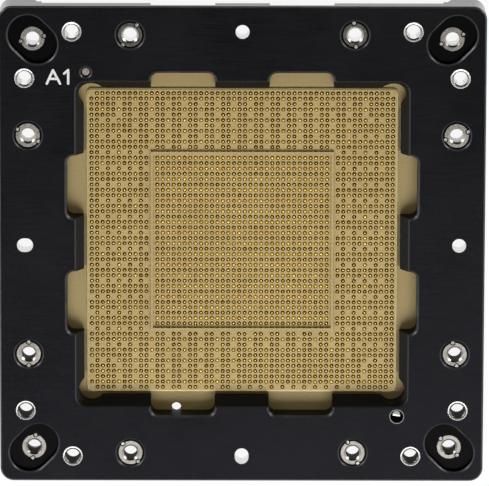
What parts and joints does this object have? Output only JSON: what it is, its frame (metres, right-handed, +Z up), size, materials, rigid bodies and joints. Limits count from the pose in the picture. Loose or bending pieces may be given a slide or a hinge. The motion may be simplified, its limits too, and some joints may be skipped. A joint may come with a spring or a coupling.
{
  "type": "ic test socket",
  "caption": "Square test socket with a black frame, a guided package pocket with side notches, a tan probe plate and a dense field of gold spring contacts",
  "frame": {"origin": "middle of the underside, level with the feet of the corner legs", "axes": "+Z up out of the package pocket, +Y towards the side that contact row A lies on, contact A1 at -X +Y"},
  "size_m": [0.0886, 0.0886, 0.008],
  "materials": {
    "anodised": "black anodised, fine brushed grain",
    "polymer": "machined",
    "contact_gold": "gold plated",
    "insert_steel": "satin nickel",
    "bush_steel": "polished",
    "screw_steel": "satin"
  },
  "bodies": {
    "root": {"frame": "anodised", "probe_plate": "polymer", "core_block": "polymer", "side_block_1": "polymer", "side_block_2": "polymer", "side_block_3": "polymer", "side_block_4": "polymer", "retainer_plate": "polymer", "contact_tips_1": "contact_gold", "contact_tips_2": "contact_gold", "contact_tips_3": "contact_gold", "contact_tips_4": "contact_gold", "contact_tips_5": "contact_gold", "contact_tips_6": "contact_gold", "contact_tips_7": "contact_gold", "contact_tips_8": "contact_gold", "contact_tails_1": "contact_gold", "contact_tails_2": "contact_gold", "contact_tails_3": "contact_gold", "contact_tails_4": "contact_gold", "contact_tails_5": "contact_gold", "contact_tails_6": "contact_gold", "contact_tails_7": "contact_gold", "contact_tails_8": "contact_gold", "edge_insert_1": "insert_steel", "edge_insert_2": "insert_steel", "edge_insert_3": "insert_steel", "edge_insert_4": "insert_steel", "edge_insert_5": "insert_steel", "edge_insert_6": "insert_steel", "edge_insert_7": "insert_steel", "edge_insert_8": "insert_steel", "corner_insert_1": "insert_steel", "corner_insert_2": "insert_steel", "corner_insert_3": "insert_steel", "corner_insert_4": "insert_steel", "edge_keys": "insert_steel", "corner_keys": "insert_steel", "guide_bush_1": "bush_steel", "guide_bush_2": "bush_steel", "guide_bush_3": "bush_steel", "guide_bush_4": "bush_steel", "guide_bush_5": "bush_steel", "guide_bush_6": "bush_steel", "guide_bush_7": "bush_steel", "guide_bush_8": "bush_steel", "flange_screws": "screw_steel", "retainer_screws": "screw_steel", "locating_dowel_1": "screw_steel", "locating_dowel_2": "screw_steel"}
  },
  "joints": []
}
